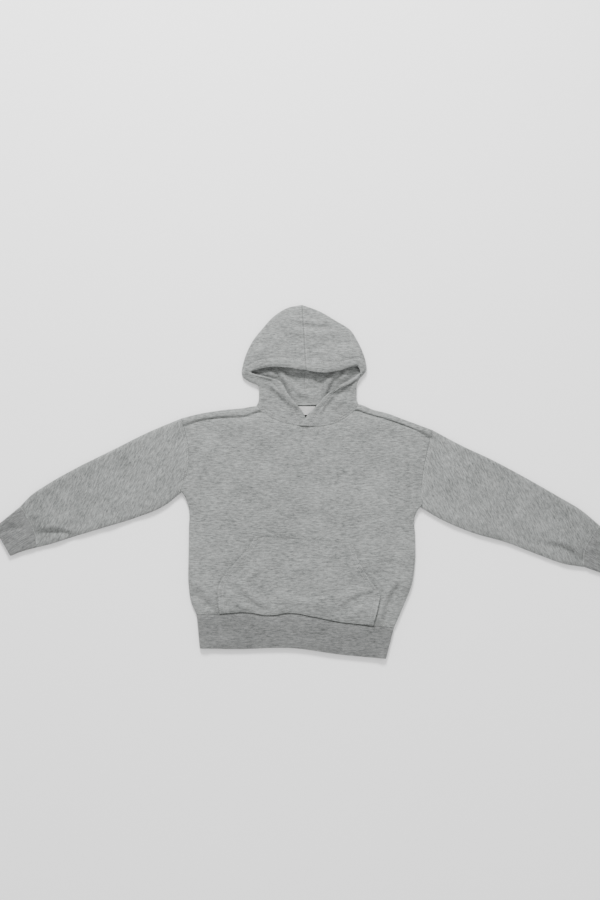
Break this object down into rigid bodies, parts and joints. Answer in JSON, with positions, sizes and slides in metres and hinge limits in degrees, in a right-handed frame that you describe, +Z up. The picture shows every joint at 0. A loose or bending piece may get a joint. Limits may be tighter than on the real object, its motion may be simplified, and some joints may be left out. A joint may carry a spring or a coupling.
{
  "type": "toddler hoodie",
  "caption": "Boxy pullover toddler hoodie in grey melange fleece, laid flat on its back with sleeves spread and hood open, kangaroo pocket, wide hem band and cuffs.",
  "frame": {"origin": "on the surface it lies on, under the middle of the garment's outline", "axes": "+X towards the wearer's left cuff, +Y towards the hood, +Z up from the surface"},
  "size_m": [1.0055, 0.563, 0.018],
  "materials": {
    "fleece": "brushed melange jersey fleece, matt with a soft nap",
    "band_knit": "melange band knit with fine ribs, matt",
    "label": "plain woven satin, blank"
  },
  "bodies": {
    "root": {"body_back": "fleece", "body_front": "fleece", "sleeve_right": "fleece", "sleeve_left": "fleece", "cuff_right": "band_knit", "cuff_left": "band_knit", "hem_band": "band_knit", "pocket": "fleece", "hood_right": "fleece", "hood_left": "fleece", "neck_label": "label"}
  },
  "joints": []
}
